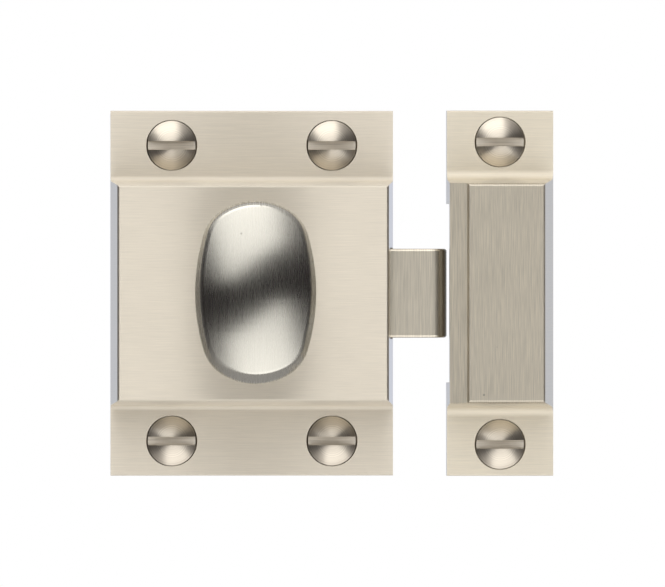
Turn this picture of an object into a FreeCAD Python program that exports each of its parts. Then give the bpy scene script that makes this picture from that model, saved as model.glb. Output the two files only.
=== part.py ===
"""Cupboard catch latch: a cast case with a turning knob and a sprung bolt, and a separate keep.

The latch stands as it is screwed to a door: +Z is up, +X is the way the bolt points, and the fronts
face -Y. The mounting plane is y = 0 and the origin is where the knob's axis meets it. A depth here is
a distance in front of that plane, so a depth of 10 is y = -10. Millimetres throughout.
"""

import FreeCAD, Part
import math
import os
import re
import Sketcher

Vector = FreeCAD.Vector
doc = FreeCAD.newDocument("CupboardLatch")

# The driving sizes

SIZES = [
    ("case_width", 39.5, "case, side to side at its back"),
    ("case_length", 51.0, "case, top to bottom"),
    ("case_height", 10.0, "front face of the case, from the mounting plane"),
    ("case_flange", 9.1, "length of the screw flange at each end"),
    ("case_cove", 0.75, "how far the cove at the foot of the block runs onto the flange"),
    ("case_slope", 0.65, "lean of the block's end walls"),
    ("case_draft", 0.9, "lean of the block's side walls"),
    ("flange_thick", 2.4, "thickness of the screw flanges, case and keep"),
    ("face_round", 0.35, "rounding round the raised faces"),
    ("rim_round", 0.25, "rounding along the flange edges"),
    ("right_wall", 3.15, "thickness of the case's right wall at its foot"),
    ("left_wall", 2.95, "thickness of the case's left wall at its foot"),
    ("core_round", 0.8, "corner radius of the cored hollows"),
    ("plate_thick", 1.6, "back plate"),
    ("plate_height", 29.0, "back plate, top to bottom"),
    ("plate_lap", 1.5, "how far the back plate laps the right wall"),
    ("plate_gap", 0.06, "gap round the back plate in its recess"),
    ("plate_screw_inset_x", 3.2, "back plate screw to the plate's side edge"),
    ("plate_screw_inset_z", 2.6, "back plate screw to the plate's end edge"),
    ("plate_screw_head", 3.8, "back plate screw, head diameter"),
    ("plate_screw_shank", 2.0, "back plate screw, thread diameter"),
    ("plate_screw_length", 5.5, "back plate screw, overall"),
    ("plate_screw_spare", 0.4, "hole left beyond a back plate screw's end"),
    ("plate_screw_chamfer", 0.45, "back plate screw, cut corner at its end"),
    ("plate_slot_width", 0.55, "back plate screw, driver slot width"),
    ("plate_slot_depth", 0.45, "back plate screw, driver slot depth"),
    ("bolt_width", 12.4, "bolt nose, top to bottom"),
    ("bolt_thick", 5.2, "bolt, front to back"),
    ("bolt_reach", 7.4, "how far the bolt stands out of the case"),
    ("nose_front_round", 2.1, "rounding of the nose, front edge"),
    ("nose_back_round", 2.9, "rounding of the nose, back edge, which rides up the keep"),
    ("nose_edge_round", 0.35, "rounding along the nose's upper and lower edges"),
    ("tail_width", 18.4, "bolt tail, top to bottom"),
    ("tail_chamfer", 1.0, "cut corners of the tail"),
    ("window_height", 9.8, "window in the tail that clears the hub"),
    ("window_gap", 0.4, "gap between the hub and the window's ends"),
    ("window_wall", 1.2, "web between the window and the spring pocket"),
    ("slide_gap", 0.15, "gap above and below the nose in its slot"),
    ("guide_gap", 0.3, "gap above and below the tail in the case"),
    ("bolt_gap", 0.2, "gap in front of and behind the bolt"),
    ("shoulder_gap", 0.1, "gap between the tail's shoulders and the right wall at rest"),
    ("travel_spare", 0.5, "room left behind the tail when the bolt is drawn"),
    ("spring_width", 3.3, "spring, outer diameter"),
    ("spring_wire", 0.4, "spring, wire diameter"),
    ("spring_turns", 7, "spring, number of turns"),
    ("spring_gap", 0.2, "gap round the spring in its pocket"),
    ("spigot_width", 1.9, "spigot in the case that the spring sits over"),
    ("spigot_length", 3.0, "spigot in the case"),
    ("turn_angle", 60, "turn of the knob, degrees"),
    ("arm_length", 6.3, "follower, hub centre to tip centre"),
    ("arm_width", 1.5, "follower arm"),
    ("tip_width", 2.4, "follower tip, diameter"),
    ("tip_gap", 0.12, "gap at each side of the tip in its slot"),
    ("tip_room", 0.4, "gap below the tip when the arm points straight down"),
    ("hub_width", 6.8, "follower hub, diameter"),
    ("follower_thick", 3.4, "follower"),
    ("end_play", 0.1, "gap between the follower and the front wall"),
    ("spindle_width", 5.2, "knob spindle, diameter"),
    ("spindle_gap", 0.05, "running gap round the spindle"),
    ("square_width", 3.6, "square end of the spindle"),
    ("square_gap", 0.04, "gap at each side of the square"),
    ("square_short", 0.1, "how far the square stops short of the washer"),
    ("screw_gap", 0.03, "gap round a machine screw in its hole"),
    ("lock_washer_width", 6.4, "washer behind the follower, diameter"),
    ("lock_washer_thick", 0.5, "washer behind the follower"),
    ("lock_head_width", 4.2, "screw in the spindle end, head diameter"),
    ("lock_head_height", 1.0, "screw in the spindle end, head height"),
    ("lock_head_chamfer", 0.4, "screw in the spindle end, cut corner of its head"),
    ("lock_shank_width", 2.0, "screw in the spindle end, thread diameter"),
    ("lock_screw_length", 6.0, "screw in the spindle end, under its head"),
    ("lock_slot_width", 0.6, "screw in the spindle end, driver slot width"),
    ("lock_slot_depth", 0.5, "screw in the spindle end, driver slot depth"),
    ("thrust_width", 11.0, "washer under the knob, diameter"),
    ("thrust_thick", 0.5, "washer under the knob"),
    ("knob_width", 17.0, "knob, across, before its widest line is rounded"),
    ("knob_length", 25.5, "knob, along, before its widest line is rounded"),
    ("knob_end_flat", 0.5, "how much flatter the oval's ends are than half circles"),
    ("knob_side_round", 28.0, "radius of the oval at its sides"),
    ("knob_corner_round", 6.0, "radius of the oval between its ends and sides"),
    ("knob_reach", 27.2, "top of the knob's dome, from the mounting plane"),
    ("dome_rise", 1.8, "rise of the dome above the crease round it"),
    ("dome_lift", 0.6, "how far the dome's crown sits above the knob's axis"),
    ("band_depth", 3.2, "side band of the knob, widest line to crease"),
    ("band_lean", 15.5, "lean of the side band, degrees"),
    ("back_depth", 4.2, "back of the knob, widest line to neck"),
    ("back_lean", 24, "lean of the knob's back, degrees"),
    ("crease_round", 1.0, "rounding of the crease round the dome"),
    ("girth_round", 2.4, "rounding along the knob's widest line"),
    ("back_round", 2.6, "rounding round the knob's back"),
    ("flare_width", 9.2, "top of the neck, diameter"),
    ("neck_root", 0.7, "how far the neck runs into the knob"),
    ("neck_hollow", 1.0, "how far the neck curves in between its ends"),
    ("collar_width", 10.0, "knob collar, diameter"),
    ("collar_thick", 1.2, "knob collar"),
    ("collar_step", 0.7, "step from the neck out to the collar"),
    ("collar_bead", 0.3, "bulge of the collar's edge"),
    ("wood_head", 6.86, "wood screw, head diameter"),
    ("wood_shank", 3.5, "wood screw, diameter of its plain shank"),
    ("wood_thread", 3.0, "wood screw, mean diameter of its threaded end"),
    ("wood_plain", 5.6, "wood screw, from its head's edge to its thread"),
    ("wood_length", 16.0, "wood screw, from its head's edge to its point"),
    ("wood_dome", 1.15, "wood screw, raised head"),
    ("wood_point", 4.0, "wood screw, length of its point"),
    ("wood_slot_width", 1.2, "wood screw, driver slot width"),
    ("wood_slot_depth", 1.25, "wood screw, driver slot depth below the dome's crown"),
    ("head_gap", 0.15, "gap round a wood screw's head in its countersink"),
    ("shank_gap", 0.2, "gap round a wood screw's shank"),
    ("case_screw_inset_x", 8.55, "case screw to the case's side edge"),
    ("case_screw_inset_z", 4.85, "case screw to the case's end edge"),
    ("keep_screw_inset", 4.4, "keep screw to the keep's end edge"),
    ("keep_space", 7.55, "gap between the case and the keep"),
    ("keep_width", 14.9, "keep, side to side at its back"),
    ("keep_length", 51.1, "keep, top to bottom"),
    ("keep_height", 10.0, "front face of the keep, from the mounting plane"),
    ("keep_flange", 8.3, "length of the screw flange at each end"),
    ("keep_cove", 1.3, "how far the cove at the foot of the block runs onto the flange"),
    ("keep_slope", 0.75, "lean of the keep's end walls"),
    ("keep_draft", 1.6, "lean of the keep's right wall"),
    ("keep_mouth_draft", 0.15, "lean of the keep's left wall"),
    ("keep_wall", 2.9, "keep's right wall at its foot"),
    ("mouth_length", 25.0, "mouth of the keep, top to bottom"),
    ("mouth_gap", 0.3, "gap between the bolt and the lip over the mouth"),
    ("ramp_width", 2.6, "ramp along the lip, from the keep's left edge"),
    ("ramp_low", 8.5, "ramp at its left edge, from the mounting plane"),
    ("ramp_high", 9.25, "ramp at the foot of its step, from the mounting plane"),
    ("step_round", 0.2, "rounding at the foot of the ramp's step"),
    ("cut_margin", 1.0, "how far a cutting outline runs past what it cuts"),
]

sheet = doc.addObject("Spreadsheet::Sheet", "Sizes")
for row, (alias, number, note) in enumerate(SIZES, start=1):
    sheet.set(f"A{row}", alias.replace("_", " "))
    sheet.set(f"B{row}", str(number))
    sheet.setAlias(f"B{row}", alias)
    sheet.set(f"C{row}", note)
doc.recompute()

# Places that several pieces share, written in the sheet's own names

RIGHT_WALL_X = "(case_width / 2 - right_wall)"
BOLT_BACK = "(plate_thick + bolt_gap)"
BOLT_AXIS = "(plate_thick + bolt_gap + bolt_thick / 2)"
BOLT_FRONT = "(plate_thick + bolt_gap + bolt_thick)"
CORE_DEPTH = "(plate_thick + 2 * bolt_gap + bolt_thick)"
TRAVEL = "(2 * arm_length * sin(turn_angle * 1deg / 2))"
TIP_X = "(arm_length * sin(turn_angle * 1deg / 2))"
LEFT_WALL_X = "(left_wall - case_width / 2)"
TAIL_X = f"({LEFT_WALL_X} + travel_spare + {TRAVEL})"
SPRING_SEAT_X = "(-hub_width / 2 - window_gap - window_wall)"
PLATE_HALF_WIDTH = "(case_width / 2 - right_wall + plate_lap)"
SHOULDER = f"({CORE_DEPTH} - end_play)"
FOLLOWER_BACK = f"({CORE_DEPTH} - end_play - follower_thick)"
KEEP_X = "(case_width / 2 + keep_space)"
LIP_UNDERSIDE = f"({BOLT_FRONT} + mouth_gap)"
KNOB_END_ROUND = "(knob_width / 2 + knob_end_flat)"


def bind(formula):
    """The same formula, reading each size from the sheet."""
    return re.sub(r"\b([a-z]+(?:_[a-z]+)+)\b", r"Sizes.\1", formula)


def value(formula):
    """What a formula comes to with the sheet's present numbers."""
    result = sheet.evalExpression(bind(formula))
    return float(getattr(result, "Value", result))


def vary(thing, prop, formula):
    """Tie one property of an object to a formula of the sheet's sizes."""
    thing.setExpression(prop, bind(formula))


# Small tools for bodies, sketches and features


def new_body(label, x="0", depth="0", z="0"):
    """An empty body with its own name and place."""
    body = doc.addObject("PartDesign::Body", "Body_" + label)
    body.Label = label
    vary(body, ".Placement.Base.x", x)
    vary(body, ".Placement.Base.y", f"-({depth})")
    vary(body, ".Placement.Base.z", z)
    return body


def origin_feature(body, role):
    """One of the body's own origin planes or axes."""
    return next(feature for feature in body.Origin.OriginFeatures if feature.Role == role)


def new_sketch(body, name, plane="XZ_Plane", offset="0", turn="0"):
    """A sketch on one of the body's origin planes, or offset from it along the plane's normal.

    The XZ plane's normal points to the front, so its offset is a depth.
    """
    sketch = body.newObject("Sketcher::SketchObject", name)
    sketch.AttachmentSupport = [(origin_feature(body, plane), "")]
    sketch.MapMode = "FlatFace"
    vary(sketch, ".AttachmentOffset.Base.z", offset)
    vary(sketch, ".AttachmentOffset.Rotation.Angle", turn)
    return sketch


def pin_point(sketch, geometry, point, across, up):
    """Hold one point of the sketch at a place given by two formulas."""
    for kind, formula in (("DistanceX", across), ("DistanceY", up)):
        held = sketch.addConstraint(
            Sketcher.Constraint(kind, -1, 1, geometry, point, value(formula))
        )
        vary(sketch, f"Constraints[{held}]", formula)


def draw_outline(sketch, corners, bulges=None, radii=None):
    """A closed outline through the corners; a bulge or a radius makes the edge after its corner an arc.

    A corner is a pair of formulas. A bulge is a formula for how far the arc's middle stands off the
    straight line, to the right of the way the outline is drawn. An arc with a radius stands off to
    the right too.
    """
    bulges = bulges or {}
    radii = radii or {}
    places = [Vector(value(across), value(up), 0) for across, up in corners]
    edges = []
    for index, start in enumerate(places):
        end = places[(index + 1) % len(places)]
        rise = 0
        if index in bulges:
            rise = value(bulges[index])
        if index in radii:
            radius = value(radii[index])
            rise = radius - math.sqrt(radius**2 - (end - start).Length ** 2 / 4)
        if rise:
            along = (end - start).normalize()
            middle = (start + end) * 0.5 + Vector(along.y, -along.x, 0) * rise
            edges.append(sketch.addGeometry(Part.Arc(start, middle, end)))
        else:
            edges.append(sketch.addGeometry(Part.LineSegment(start, end)))
    ends = [first_and_last(sketch, edge, places[index]) for index, edge in enumerate(edges)]
    for index, edge in enumerate(edges):
        following = (index + 1) % len(edges)
        sketch.addConstraint(
            Sketcher.Constraint("Coincident", edge, ends[index][1], edges[following], ends[following][0])
        )
        across, up = corners[index]
        pin_point(sketch, edge, ends[index][0], across, up)
        if index in radii:
            held = sketch.addConstraint(Sketcher.Constraint("Radius", edge, value(radii[index])))
            vary(sketch, f"Constraints[{held}]", radii[index])
        if index in bulges:
            rise = value(bulges[index])
            chord = (places[following] - places[index]).Length
            held = sketch.addConstraint(
                Sketcher.Constraint("Radius", edge, (chord**2 / 4 + rise**2) / (2 * abs(rise)))
            )
            next_across, next_up = corners[following]
            span_across = f"(({next_across}) - ({across}))"
            span_up = f"(({next_up}) - ({up}))"
            span = f"({span_across}^2 + {span_up}^2)"
            vary(
                sketch,
                f"Constraints[{held}]",
                f"({span} / 4 + ({bulges[index]})^2) / (2 * abs({bulges[index]}))",
            )


def first_and_last(sketch, edge, start):
    """The point numbers of an edge's start and end; an arc may be stored the other way round."""
    stored_first = sketch.getPoint(edge, 1)
    if (stored_first - start).Length < 1e-6:
        return 1, 2
    return 2, 1


def cap_bulge(width, rise):
    """How far the middle of the arc from a round cap's crown to its rim stands off a straight line."""
    chord = f"(({width})^2 / 4 + ({rise})^2)"
    radius = f"({chord} / (2 * ({rise})))"
    return f"({radius} - sqrt({radius}^2 - {chord} / 4))"


def quarter_bulge(radius):
    """The same for a quarter circle."""
    return f"({radius} * (1 - sqrt(0.5)))"


def draw_box(sketch, left, right, bottom, top):
    """A rectangle between four formulas."""
    draw_outline(sketch, [(left, bottom), (right, bottom), (right, top), (left, top)])


def draw_circle(sketch, across, up, diameter):
    """A circle with its centre and diameter held."""
    centre = Vector(value(across), value(up), 0)
    circle = sketch.addGeometry(Part.Circle(centre, Vector(0, 0, 1), value(diameter) / 2))
    pin_point(sketch, circle, 3, across, up)
    held = sketch.addConstraint(Sketcher.Constraint("Diameter", circle, value(diameter)))
    vary(sketch, f"Constraints[{held}]", diameter)


def add_feature(body, kind, name, profile):
    """A PartDesign feature of the body, made from a sketch."""
    feature = body.newObject("PartDesign::" + kind, name)
    feature.Profile = profile
    return feature


def pad(body, sketch, length, both_ways=False, backwards=False, lean=None):
    """Add material from a sketch."""
    feature = add_feature(body, "Pad", sketch.Name + "Pad", sketch)
    vary(feature, "Length", length)
    feature.Reversed = backwards
    if both_ways:
        feature.SideType = "Symmetric"
    if lean is not None:
        vary(feature, "TaperAngle", lean)
    doc.recompute()
    return feature


def cut_is_real(body, before, name):
    """A cut has to take material away."""
    if not body.Shape.Volume < before - 1e-6:
        raise RuntimeError(f"{name} cuts nothing")


def pocket(body, sketch, depth=None, forwards=False, both_ways=False):
    """Take material away from a sketch; with no depth it goes right through.

    A pocket goes against its plane's normal unless forwards is set.
    """
    before = body.Shape.Volume
    feature = add_feature(body, "Pocket", sketch.Name + "Pocket", sketch)
    feature.Reversed = forwards
    if both_ways:
        feature.SideType = "Symmetric"
    if depth is None:
        feature.Type = "ThroughAll"
    else:
        vary(feature, "Length", depth)
    doc.recompute()
    cut_is_real(body, before, sketch.Name)
    return feature


def revolve(body, sketch, axis="V_Axis"):
    """Add a full turn of a sketch about one of its own axes."""
    feature = add_feature(body, "Revolution", sketch.Name + "Turn", sketch)
    feature.ReferenceAxis = (sketch, [axis])
    feature.Angle = 360
    doc.recompute()
    return feature


def round_edges(body, name, radius, test, kind="Fillet"):
    """Fillet or chamfer the edges that pass a test of their middle point and ends."""
    base = body.Tip
    names = []
    for number, edge in enumerate(base.Shape.Edges, start=1):
        ends = [vertex.Point for vertex in edge.Vertexes]
        middle = edge.valueAt((edge.FirstParameter + edge.LastParameter) / 2)
        if test(middle, ends):
            names.append(f"Edge{number}")
    if not names:
        raise RuntimeError(f"{name} found no edge")
    feature = body.newObject("PartDesign::" + kind, name)
    feature.Base = (base, names)
    vary(feature, "Size" if kind == "Chamfer" else "Radius", radius)
    doc.recompute()
    if "Invalid" in feature.State or "Error" in feature.State:
        raise RuntimeError(f"{name} did not build")
    return feature


def holes(body, sketch, shank, head, forwards=False, depth=None):
    """Countersunk holes at the centres of a sketch's circles, with 90 degree countersinks."""
    before = body.Shape.Volume
    feature = add_feature(body, "Hole", sketch.Name + "Holes", sketch)
    doc.recompute()
    feature.Reversed = forwards
    vary(feature, "Diameter", shank)
    if depth is None:
        feature.DepthType = "ThroughAll"
    else:
        feature.DepthType = "Dimension"
        feature.DrillPoint = "Flat"
        vary(feature, "Depth", depth)
    feature.HoleCutType = "Countersink"
    feature.HoleCutCustomValues = True
    feature.HoleCutCountersinkAngle = 90
    vary(feature, "HoleCutDiameter", head)
    doc.recompute()
    cut_is_real(body, before, sketch.Name)
    return feature


def near(one, other, slack=1e-4):
    """Whether two lengths are the same."""
    return abs(one - other) < slack


# The case: a block on two screw flanges, cored from the back


def make_case():
    """The cast case, with its hollow, the bolt's slot, the spindle's bore and the screw holes."""
    body = new_body("latch_case")

    foot = "(case_length / 2 - case_flange - case_cove)"
    profile = new_sketch(body, "CaseProfile", "YZ_Plane")
    draw_outline(
        profile,
        [
            ("0", "-case_length / 2"),
            ("0", "case_length / 2"),
            ("-flange_thick", "case_length / 2"),
            ("-flange_thick", foot),
            ("-case_height", f"{foot} - case_slope"),
            ("-case_height", f"-{foot} + case_slope"),
            ("-flange_thick", f"-{foot}"),
            ("-flange_thick", "-case_length / 2"),
        ],
    )
    pad(body, profile, "case_width", both_ways=True)

    for side, name in (("", "CaseRightDraft"), ("-", "CaseLeftDraft")):
        wedge = new_sketch(body, name, "XY_Plane")
        draw_outline(
            wedge,
            [
                (f"{side}case_width / 2", "-flange_thick"),
                (f"{side}(case_width / 2 - case_draft)", "-case_height"),
                (f"{side}case_width / 2", "-case_height"),
            ],
        )
        pocket(body, wedge, "case_length", both_ways=True)

    foot_z = value(foot)
    round_edges(
        body,
        "CaseCove",
        "case_cove / tan((90deg - atan(case_slope / (case_height - flange_thick))) / 2)",
        lambda middle, ends: near(middle.y, -value("flange_thick"))
        and near(abs(middle.z), foot_z)
        and near(middle.x, 0),
    )
    round_edges(
        body,
        "CaseFaceRound",
        "face_round",
        lambda middle, ends: near(middle.y, -value("case_height")),
    )
    outer_z = value("case_length / 2")
    round_edges(
        body,
        "CaseRimRound",
        "rim_round",
        lambda middle, ends: near(middle.y, -value("flange_thick"))
        and near(abs(middle.z), outer_z),
    )

    recess = new_sketch(body, "PlateRecess")
    half_width = f"({PLATE_HALF_WIDTH} + plate_gap)"
    half_height = "(plate_height / 2 + plate_gap)"
    draw_box(recess, f"-{half_width}", half_width, f"-{half_height}", half_height)
    pocket(body, recess, "plate_thick", forwards=True)

    core = new_sketch(body, "CaseCore")
    guide = "(tail_width / 2 + guide_gap)"
    draw_box(core, LEFT_WALL_X, RIGHT_WALL_X, f"-{guide}", guide)
    pocket(body, core, CORE_DEPTH, forwards=True)
    left = value(LEFT_WALL_X)
    right = value(RIGHT_WALL_X)
    guide_z = value(guide)
    round_edges(
        body,
        "CoreCorners",
        "core_round",
        lambda middle, ends: near(abs(middle.z), guide_z)
        and (near(middle.x, left) or near(middle.x, right))
        and not near(ends[0].y, ends[-1].y),
    )

    slot = new_sketch(body, "BoltSlot", "YZ_Plane")
    slot_half = "(bolt_width / 2 + slide_gap)"
    draw_box(slot, f"-({BOLT_FRONT} + slide_gap)", "-plate_thick", f"-{slot_half}", slot_half)
    pocket(body, slot, "case_width", forwards=True)

    bore = new_sketch(body, "SpindleBore")
    draw_circle(bore, "0", "0", "spindle_width + 2 * spindle_gap")
    pocket(body, bore, forwards=True)

    spigot = new_sketch(body, "SpringSpigot", "YZ_Plane", LEFT_WALL_X)
    draw_circle(spigot, f"-{BOLT_AXIS}", "0", "spigot_width")
    pad(body, spigot, "spigot_length")

    screw_places = new_sketch(body, "CaseScrewPlaces", offset="flange_thick")
    for across, up in case_screw_places():
        draw_circle(screw_places, across, up, "wood_shank + 2 * shank_gap")
    holes(body, screw_places, "wood_shank + 2 * shank_gap", "wood_head + 2 * head_gap")

    tapped = new_sketch(body, "PlateScrewPlaces", offset="plate_thick")
    for across, up in plate_screw_places():
        draw_circle(tapped, across, up, "plate_screw_shank + 2 * screw_gap")
    pocket(body, tapped, "plate_screw_length - plate_thick + plate_screw_spare", forwards=True)
    return body


def case_screw_places():
    """The four wood screws of the case, from the upper left one across and then down."""
    across = "(case_width / 2 - case_screw_inset_x)"
    up = "(case_length / 2 - case_screw_inset_z)"
    return [(f"{a}{across}", f"{b}{up}") for b in ("", "-") for a in ("-", "")]


def plate_screw_places():
    """The four screws near the back plate's corners."""
    across = f"({PLATE_HALF_WIDTH} - plate_screw_inset_x)"
    up = "(plate_height / 2 - plate_screw_inset_z)"
    return [(f"{a}{across}", f"{b}{up}") for a in ("-", "") for b in ("-", "")]


def make_back_plate():
    """The plate that closes the case, flush with its back."""
    body = new_body("back_plate")
    outline = new_sketch(body, "BackPlateOutline")
    draw_box(
        outline,
        f"-{PLATE_HALF_WIDTH}",
        PLATE_HALF_WIDTH,
        "-plate_height / 2",
        "plate_height / 2",
    )
    pad(body, outline, "plate_thick")
    places = new_sketch(body, "BackPlateHoles")
    for across, up in plate_screw_places():
        draw_circle(places, across, up, "plate_screw_shank + 2 * screw_gap")
    holes(
        body,
        places,
        "plate_screw_shank + 2 * screw_gap",
        "plate_screw_head + 2 * screw_gap",
        forwards=True,
    )
    return body


def make_plate_screw(number, across, up):
    """A slotted countersunk screw that holds the back plate; its head is flush with the back."""
    body = new_body(f"back_plate_screw_{number}", across, "0", up)
    profile = new_sketch(body, f"PlateScrewProfile{number}", "XY_Plane")
    sink = "((plate_screw_head - plate_screw_shank) / 2)"
    draw_outline(
        profile,
        [
            ("0", "0"),
            ("plate_screw_head / 2", "0"),
            ("plate_screw_shank / 2", f"-{sink}"),
            ("plate_screw_shank / 2", "-plate_screw_length + plate_screw_chamfer"),
            ("plate_screw_shank / 2 - plate_screw_chamfer", "-plate_screw_length"),
            ("0", "-plate_screw_length"),
        ],
    )
    revolve(body, profile)
    slot = new_sketch(body, f"PlateScrewSlot{number}")
    draw_box(
        slot,
        "-plate_screw_head / 2",
        "plate_screw_head / 2",
        "-plate_slot_width / 2",
        "plate_slot_width / 2",
    )
    pocket(body, slot, "plate_slot_depth", forwards=True)
    return body


# The bolt: a rounded nose on a wide tail, with a window for the follower and a spring pocket


def make_bolt():
    """The sliding bolt, in one piece."""
    body = new_body("latch_bolt")
    shoulder_x = f"({RIGHT_WALL_X} - shoulder_gap)"
    tip_x = "(case_width / 2 + bolt_reach)"
    outline = new_sketch(body, "BoltOutline", offset=BOLT_BACK)
    draw_outline(
        outline,
        [
            (TAIL_X, "-tail_width / 2"),
            (shoulder_x, "-tail_width / 2"),
            (shoulder_x, "-bolt_width / 2"),
            (tip_x, "-bolt_width / 2"),
            (tip_x, "bolt_width / 2"),
            (shoulder_x, "bolt_width / 2"),
            (shoulder_x, "tail_width / 2"),
            (TAIL_X, "tail_width / 2"),
        ],
    )
    pad(body, outline, "bolt_thick")

    nose = new_sketch(body, "NoseProfile", "XY_Plane")
    draw_outline(
        nose,
        [
            (f"{tip_x} - nose_front_round", f"-{BOLT_FRONT}"),
            (tip_x, f"-{BOLT_FRONT} + nose_front_round"),
            (tip_x, f"-{BOLT_BACK} - nose_back_round"),
            (f"{tip_x} - nose_back_round", f"-{BOLT_BACK}"),
            (f"{tip_x} + nose_edge_round", f"-{BOLT_BACK}"),
            (f"{tip_x} + nose_edge_round", f"-{BOLT_FRONT}"),
        ],
        {0: quarter_bulge("nose_front_round"), 2: quarter_bulge("nose_back_round")},
    )
    pocket(body, nose, "bolt_width", both_ways=True)

    nose_z = value("bolt_width / 2")
    tail_z = value("tail_width / 2")
    round_edges(
        body,
        "NoseEdges",
        "nose_edge_round",
        lambda middle, ends: near(abs(middle.z), nose_z)
        and near(abs(ends[0].z), nose_z)
        and near(abs(ends[-1].z), nose_z)
        and not near(middle.x, value(shoulder_x)),
    )
    round_edges(
        body,
        "TailCorners",
        "tail_chamfer",
        lambda middle, ends: near(abs(middle.z), tail_z) and not near(ends[0].y, ends[-1].y),
        "Chamfer",
    )

    window = new_sketch(body, "BoltWindow")
    hub = "(hub_width / 2 + window_gap)"
    slot_half = "(tip_width / 2 + tip_gap)"
    draw_outline(
        window,
        [
            (f"-{hub}", "-window_height / 2"),
            (f"{TIP_X} - {slot_half}", "-window_height / 2"),
            (f"{TIP_X} - {slot_half}", "-(arm_length + tip_width / 2 + tip_room)"),
            (f"{TIP_X} + {slot_half}", "-(arm_length + tip_width / 2 + tip_room)"),
            (f"{TIP_X} + {slot_half}", "-window_height / 2"),
            (f"{TRAVEL} + {hub}", "-window_height / 2"),
            (f"{TRAVEL} + {hub}", "window_height / 2"),
            (f"-{hub}", "window_height / 2"),
        ],
    )
    pocket(body, window, forwards=True)

    spring_hole = new_sketch(body, "SpringPocket", "YZ_Plane", TAIL_X)
    draw_circle(spring_hole, f"-{BOLT_AXIS}", "0", "spring_width + 2 * spring_gap")
    pocket(body, spring_hole, f"{SPRING_SEAT_X} - {TAIL_X}", forwards=True)
    return body


def make_spring():
    """The compression spring between the case's left wall and the bolt, ground flat at its ends."""
    body = new_body("bolt_spring", LEFT_WALL_X, BOLT_AXIS)
    length = f"({SPRING_SEAT_X} - {LEFT_WALL_X})"
    wire = new_sketch(body, "SpringWire", "XY_Plane")
    draw_circle(wire, "0", "(spring_width - spring_wire) / 2", "spring_wire")
    coil = add_feature(body, "AdditiveHelix", "SpringCoil", wire)
    coil.ReferenceAxis = (origin_feature(body, "X_Axis"), [""])
    coil.Mode = "height-turns-angle"
    vary(coil, "Height", length)
    vary(coil, "Turns", "spring_turns")
    doc.recompute()
    for name, offset, forwards in (("SpringEnd", length, True), ("SpringStart", "0", False)):
        grind = new_sketch(body, name, "YZ_Plane", offset)
        draw_circle(grind, "0", "0", "2 * spring_width")
        pocket(body, grind, "spring_wire", forwards=forwards)
    return body


# The knob and what turns with it


def make_follower():
    """The arm on the spindle that draws the bolt; it leans half the turn to the right at rest."""
    body = new_body("follower")
    body.Placement.Rotation = FreeCAD.Rotation(Vector(0, -1, 0), 1)
    vary(body, ".Placement.Rotation.Angle", "turn_angle / 2")

    hub = new_sketch(body, "FollowerHub", offset=FOLLOWER_BACK)
    draw_circle(hub, "0", "0", "hub_width")
    pad(body, hub, "follower_thick")
    arm = new_sketch(body, "FollowerArm", offset=FOLLOWER_BACK)
    draw_box(arm, "-arm_width / 2", "arm_width / 2", "-arm_length", "0")
    pad(body, arm, "follower_thick")
    tip = new_sketch(body, "FollowerTip", offset=FOLLOWER_BACK)
    draw_circle(tip, "0", "-arm_length", "tip_width")
    pad(body, tip, "follower_thick")

    square = new_sketch(body, "FollowerSquare")
    half = "(square_width / 2 + square_gap)"
    draw_box(square, f"-{half}", half, f"-{half}", half)
    pocket(body, square, forwards=True)
    return body


def draw_oval(sketch, inset="0", lift="0"):
    """The knob's oval: end, side and corner arcs that run into each other smoothly.

    An inset draws it that much further in all round, and a lift draws it that much higher.
    """
    end_z = f"(knob_length / 2 - {KNOB_END_ROUND})"
    side_x = "(knob_side_round - knob_width / 2)"
    to_side = "(knob_side_round - knob_corner_round)"
    to_end = f"({KNOB_END_ROUND} - knob_corner_round)"
    apart = f"sqrt({side_x}^2 + {end_z}^2)"
    opening = f"acos(({to_side}^2 + {apart}^2 - {to_end}^2) / (2 * {to_side} * {apart}))"
    side_turn = f"(atan({end_z} / {side_x}) + {opening})"
    corner_x = f"({to_side} * cos({side_turn}) - {side_x})"
    corner_z = f"({to_side} * sin({side_turn}))"
    end_turn = f"atan(({corner_z} - {end_z}) / {corner_x})"

    side = f"(knob_side_round - {inset})"
    end = f"({KNOB_END_ROUND} - {inset})"
    corner = f"(knob_corner_round - {inset})"
    side_join = (f"({side} * cos({side_turn}) - {side_x})", f"({side} * sin({side_turn}))")
    end_join = (f"({end} * cos({end_turn}))", f"({end_z} + {end} * sin({end_turn}))")
    joins = [
        (side_join, "", "-"),
        (side_join, "", "+"),
        (end_join, "", "+"),
        (end_join, "-", "+"),
        (side_join, "-", "+"),
        (side_join, "-", "-"),
        (end_join, "-", "-"),
        (end_join, "", "-"),
    ]
    corners = [(f"{sign_x}{x}", f"{lift} {sign_z} {z}") for (x, z), sign_x, sign_z in joins]
    draw_outline(sketch, corners, radii=dict(enumerate([side, corner, end, corner] * 2)))


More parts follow.
